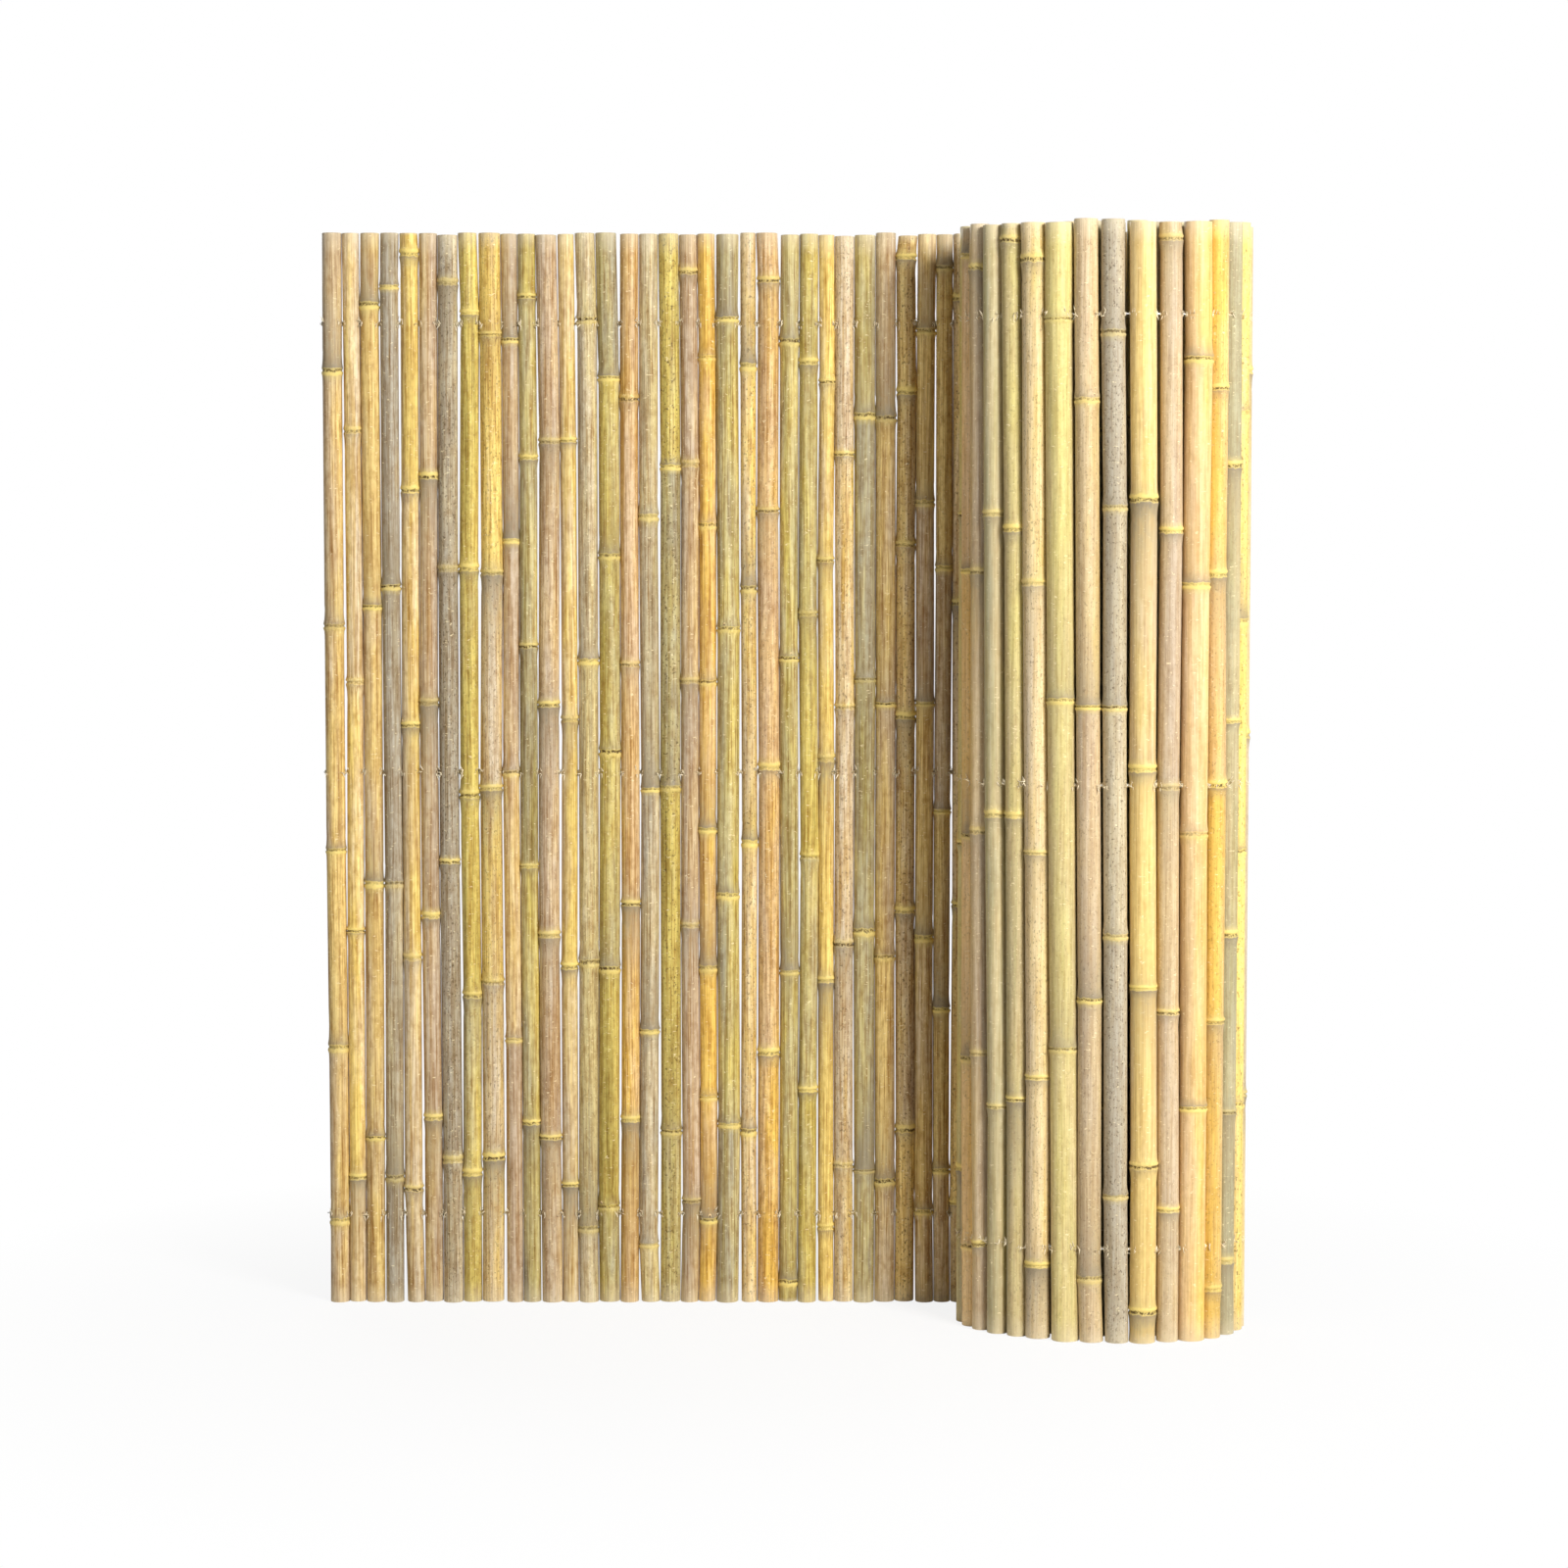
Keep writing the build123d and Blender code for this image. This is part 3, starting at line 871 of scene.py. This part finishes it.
class FENCE_OT_splinters(bpy.types.Operator):
    """Raises splinters at the mouths of every hole."""
    bl_idname = "fence.splinters"
    bl_label = "Splinters"

    def execute(self, context):
        sizes = context.scene.fence_sizes
        tree, given = new_tree("Splinters at holes", ["Length"])
        spike = add_node(tree, "GeometryNodeMeshCone", {
            "Vertices": SPLINTER_SIDES, "Radius Top": SPLINTER_TIP, "Radius Bottom": SPLINTER_ROOT,
            "Depth": given["Length"]})
        out = add_node(tree, "GeometryNodeInputNamedAttribute", {"Name": "out"}, data_type="FLOAT_VECTOR")
        aim = add_node(tree, "FunctionNodeAlignRotationToVector", {"Vector": out.outputs[0]}, axis="Z")
        scale = add_node(tree, "FunctionNodeRandomValue", {2: SPLINTER_SIZES[0], 3: SPLINTER_SIZES[1],
                                                           "Seed": SEED}, data_type="FLOAT")
        spikes = add_node(tree, "GeometryNodeInstanceOnPoints", {
            "Points": given["Geometry"], "Instance": spike.outputs[0], "Rotation": aim.outputs[0],
            "Scale": scale.outputs[1]})
        fibre = bpy.data.materials.get("torn_fibre") or bare_fibre(context.scene.fence_colours)
        close_tree(tree, spikes.outputs[0], fibre)
        dice = random.Random(SEED)
        up = Vector((0, 0, 1))
        for node in WIRE_NODES:
            height = wire_height(node)
            spots = []
            outs = []
            for place, cane in enumerate(CANES):
                along = along_mat(place)
                across = Vector((-along.y, along.x, 0))
                for mouth in (-1, 1) * SPLINTERS:
                    face = across * dice.choice((-1, 1))
                    turn = dice.uniform(*SPLINTER_ROUND)
                    skin = (along * (mouth * math.cos(turn)) + face * math.sin(turn)) * skin_radius(cane)
                    rise = dice.uniform(-SPLINTER_RISE, SPLINTER_RISE) * MM
                    spot = core_at(cane, height + rise) + skin
                    lean = face * dice.uniform(*SPLINTER_OUT) + up * dice.uniform(-SPLINTER_UP, SPLINTER_UP)
                    lean += along * (mouth * dice.uniform(*SPLINTER_ALONG))
                    tip = spot + lean.normalized() * (SPLINTER_REACH * sizes.splinter)
                    if all(low < here < high for low, here, high in zip(CAD_BOX[0], tip, CAD_BOX[1])):
                        spots.append(spot)
                        outs.append(lean)
            piece = grown(node.replace("wire", "splinters"), tree,
                          point_mesh(node + "_splinters", spots, out=outs), {"Length": sizes.splinter})
            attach(piece, BODY)
        return {"FINISHED"}


# Twig scars: the share of joints that have one, how far above the joint it sits, the room that it needs
# below the cane's top, its depth, width and height beside one another, and the spread of its size
SCAR_CHANCE = 0.4
SCAR_ABOVE = 4 * MM
SCAR_ROOM = 12 * MM
SCAR_SHAPE = (0.32, 0.62, 1.0)
SCAR_SIZES = (0.5, 1.0)


class FENCE_OT_twig_scars(bpy.types.Operator):
    """Sets the scars of trimmed twigs above some of the joints."""
    bl_idname = "fence.twig_scars"
    bl_label = "Twig scars"

    def execute(self, context):
        sizes = context.scene.fence_sizes
        dice = random.Random(SEED)
        spots = []
        turns = []
        for cane in CANES:
            for joint in cane.joints:
                chance = dice.random()
                around = dice.uniform(0, 2 * math.pi)
                if chance < SCAR_CHANCE and joint + SCAR_ROOM < cane.head.z:
                    way = Vector((math.cos(around), math.sin(around), 0))
                    spots.append(core_at(cane, joint + SCAR_ABOVE) + way * skin_radius(cane))
                    turns.append((0, 0, around))
        tree, given = new_tree("Scars of trimmed twigs", ["Height"])
        lump = add_node(tree, "GeometryNodeMeshUVSphere", {"Segments": 10, "Rings": 8, "Radius": 0.5})
        place = add_node(tree, "GeometryNodeInputPosition")
        outward = add_node(tree, "ShaderNodeSeparateXYZ", {0: place.outputs[0]})
        doubled = add_node(tree, "ShaderNodeMath", {0: outward.outputs["X"], 1: 2.0}, operation="MULTIPLY")
        marked = add_node(tree, "GeometryNodeStoreNamedAttribute", {
            "Geometry": lump.outputs["Mesh"], "Name": "scar_depth", "Value": doubled.outputs[0]},
            data_type="FLOAT", domain="POINT")
        shape = add_node(tree, "GeometryNodeTransform", {"Geometry": marked.outputs[0], "Scale": SCAR_SHAPE})
        turn = add_node(tree, "GeometryNodeInputNamedAttribute", {"Name": "turn"}, data_type="FLOAT_VECTOR")
        facing = add_node(tree, "FunctionNodeEulerToRotation", {0: turn.outputs[0]})
        size = add_node(tree, "FunctionNodeRandomValue", {2: SCAR_SIZES[0], 3: SCAR_SIZES[1],
                                                          "Seed": SEED}, data_type="FLOAT")
        scale = add_node(tree, "ShaderNodeMath", {0: size.outputs[1], 1: given["Height"]},
                         operation="MULTIPLY")
        scars = add_node(tree, "GeometryNodeInstanceOnPoints", {
            "Points": given["Geometry"], "Instance": shape.outputs[0], "Rotation": facing.outputs[0],
            "Scale": scale.outputs[0]})
        close_tree(tree, scars.outputs[0], twig_scar(context.scene.fence_colours))
        points = point_mesh("twig_scar_points", spots, turn=turns)
        piece = grown("twig_scars", tree, points, {"Height": sizes.scar})
        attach(piece, BODY)
        return {"FINISHED"}


# Soft boxes: name, place, the point that each is aimed at, and width, all in metres
LIGHTS = (
    ("key", (2.3, -3.3, 2.3), (0.1, 0, 0.6), 1.3),
    ("side", (3.0, -0.9, 1.5), (0.4, 0, 0.6), 1.2),
    ("fill", (-2.4, -2.6, 1.5), (0.3, -0.1, 0.6), 1.6),
    ("back", (-1.2, 3.6, 2.0), (0.0, 0, 0.6), 2.0),
)

# The floor's corners in metres. To the camera it is nearly white close to the fence and all white far off,
# between these two distances from the middle
FLOOR_CORNERS = ((-6, -6, 0), (6, -6, 0), (6, 6, 0), (-6, 6, 0))
FLOOR_NEAR = 0.35
FLOOR_FAR = 1.1
FLOOR_LIFT = 0.86

# Width of the camera's sensor in millimetres
SENSOR = 36


def area_light(name, place, target, size, power):
    """A square soft box aimed at a point."""
    lamp = bpy.data.lights.new(name, "AREA")
    lamp.energy = power
    lamp.size = size
    light = bpy.data.objects.new(name, lamp)
    light.location = place
    light.rotation_euler = (Vector(target) - Vector(place)).to_track_quat("-Z", "Y").to_euler()
    bpy.context.scene.collection.objects.link(light)


class FENCE_OT_stage(bpy.types.Operator):
    """Makes the white studio, its lights and the camera."""
    bl_idname = "fence.stage"
    bl_label = "Studio"

    def execute(self, context):
        scene = context.scene
        stage = scene.fence_stage
        scene.view_settings.view_transform = "Standard"

        world = bpy.data.worlds.new("Studio")
        scene.world = world
        world.use_nodes = True
        tree = world.node_tree
        tree.nodes.clear()
        path = add_node(tree, "ShaderNodeLightPath").outputs
        seen = add_node(tree, "ShaderNodeMath", {0: path["Is Camera Ray"], 1: path["Is Glossy Ray"]},
                        operation="MAXIMUM")
        seen = add_node(tree, "ShaderNodeMath", {0: seen.outputs[0], 1: path["Is Transmission Ray"]},
                        operation="MAXIMUM")
        glow = add_node(tree, "ShaderNodeBackground", {"Color": (1, 1, 1, 1), "Strength": stage.sky})
        white = add_node(tree, "ShaderNodeBackground", {"Color": (1, 1, 1, 1), "Strength": 1.0})
        both = add_node(tree, "ShaderNodeMixShader", {0: seen.outputs[0], 1: glow.outputs[0],
                                                      2: white.outputs[0]})
        add_node(tree, "ShaderNodeOutputWorld", {"Surface": both.outputs[0]})

        material, tree, output = new_material("studio_floor")
        path = add_node(tree, "ShaderNodeLightPath").outputs
        place = add_node(tree, "ShaderNodeTexCoord").outputs["Object"]
        far = add_node(tree, "ShaderNodeVectorMath", {0: place}, operation="LENGTH")
        lift = add_node(tree, "ShaderNodeMapRange", {0: far.outputs["Value"], 1: FLOOR_NEAR, 2: FLOOR_FAR,
                                                     3: FLOOR_LIFT, 4: 1.0})
        lift = add_node(tree, "ShaderNodeMath", {0: path["Is Camera Ray"], 1: lift.outputs[0]},
                        operation="MULTIPLY")
        paper = add_node(tree, "ShaderNodeBsdfDiffuse", {"Color": scene.fence_colours.floor})
        clear = add_node(tree, "ShaderNodeEmission", {"Color": (1, 1, 1, 1), "Strength": 1.0})
        both = add_node(tree, "ShaderNodeMixShader", {0: lift.outputs[0], 1: paper.outputs[0],
                                                      2: clear.outputs[0]})
        tree.links.new(both.outputs[0], output.inputs["Surface"])
        mesh = bpy.data.meshes.new("floor")
        mesh.from_pydata(FLOOR_CORNERS, [], [(0, 1, 2, 3)])
        mesh.materials.append(material)
        show("floor", mesh)

        for name, place, target, size in LIGHTS:
            area_light(name, place, target, size, getattr(stage, name))

        camera = bpy.data.cameras.new("camera")
        camera.lens = stage.lens
        camera.sensor_width = SENSOR
        eye = bpy.data.objects.new("camera", camera)
        eye.location = stage.eye
        eye.rotation_euler = (math.pi / 2 - stage.tilt, 0, 0)
        scene.collection.objects.link(eye)
        scene.camera = eye
        return {"FINISHED"}


STEPS = (FENCE_OT_panel_canes, FENCE_OT_roll_canes, FENCE_OT_wires, FENCE_OT_hole_edges, FENCE_OT_splinters,
         FENCE_OT_twig_scars, FENCE_OT_stage)
SETTINGS = {"fence_sizes": FENCE_PG_sizes, "fence_colours": FENCE_PG_colours, "fence_stage": FENCE_PG_stage}


class FENCE_PT_sidebar(bpy.types.Panel):
    """Lists the pieces of the fence and their settings."""
    bl_idname = "FENCE_PT_sidebar"
    bl_label = "Rolled bamboo fence"
    bl_space_type = "VIEW_3D"
    bl_region_type = "UI"
    bl_category = "Fence"

    def draw(self, context):
        for step in STEPS:
            self.layout.operator(step.bl_idname)
        for name, group in SETTINGS.items():
            box = self.layout.box()
            for field in group.__annotations__:
                box.prop(getattr(context.scene, name), field)


CLASSES = tuple(SETTINGS.values()) + STEPS + (FENCE_PT_sidebar,)


def register():
    for item in CLASSES:
        bpy.utils.register_class(item)
    for name, group in SETTINGS.items():
        setattr(bpy.types.Scene, name, bpy.props.PointerProperty(type=group))


def unregister():
    for name in SETTINGS:
        delattr(bpy.types.Scene, name)
    for item in reversed(CLASSES):
        bpy.utils.unregister_class(item)


def main():
    register()
    bpy.ops.fence.panel_canes()
    bpy.ops.fence.roll_canes()
    bpy.ops.fence.wires()
    bpy.ops.fence.hole_edges()
    bpy.ops.fence.splinters()
    bpy.ops.fence.twig_scars()
    bpy.ops.fence.stage()


if __name__ == "__main__":
    main()
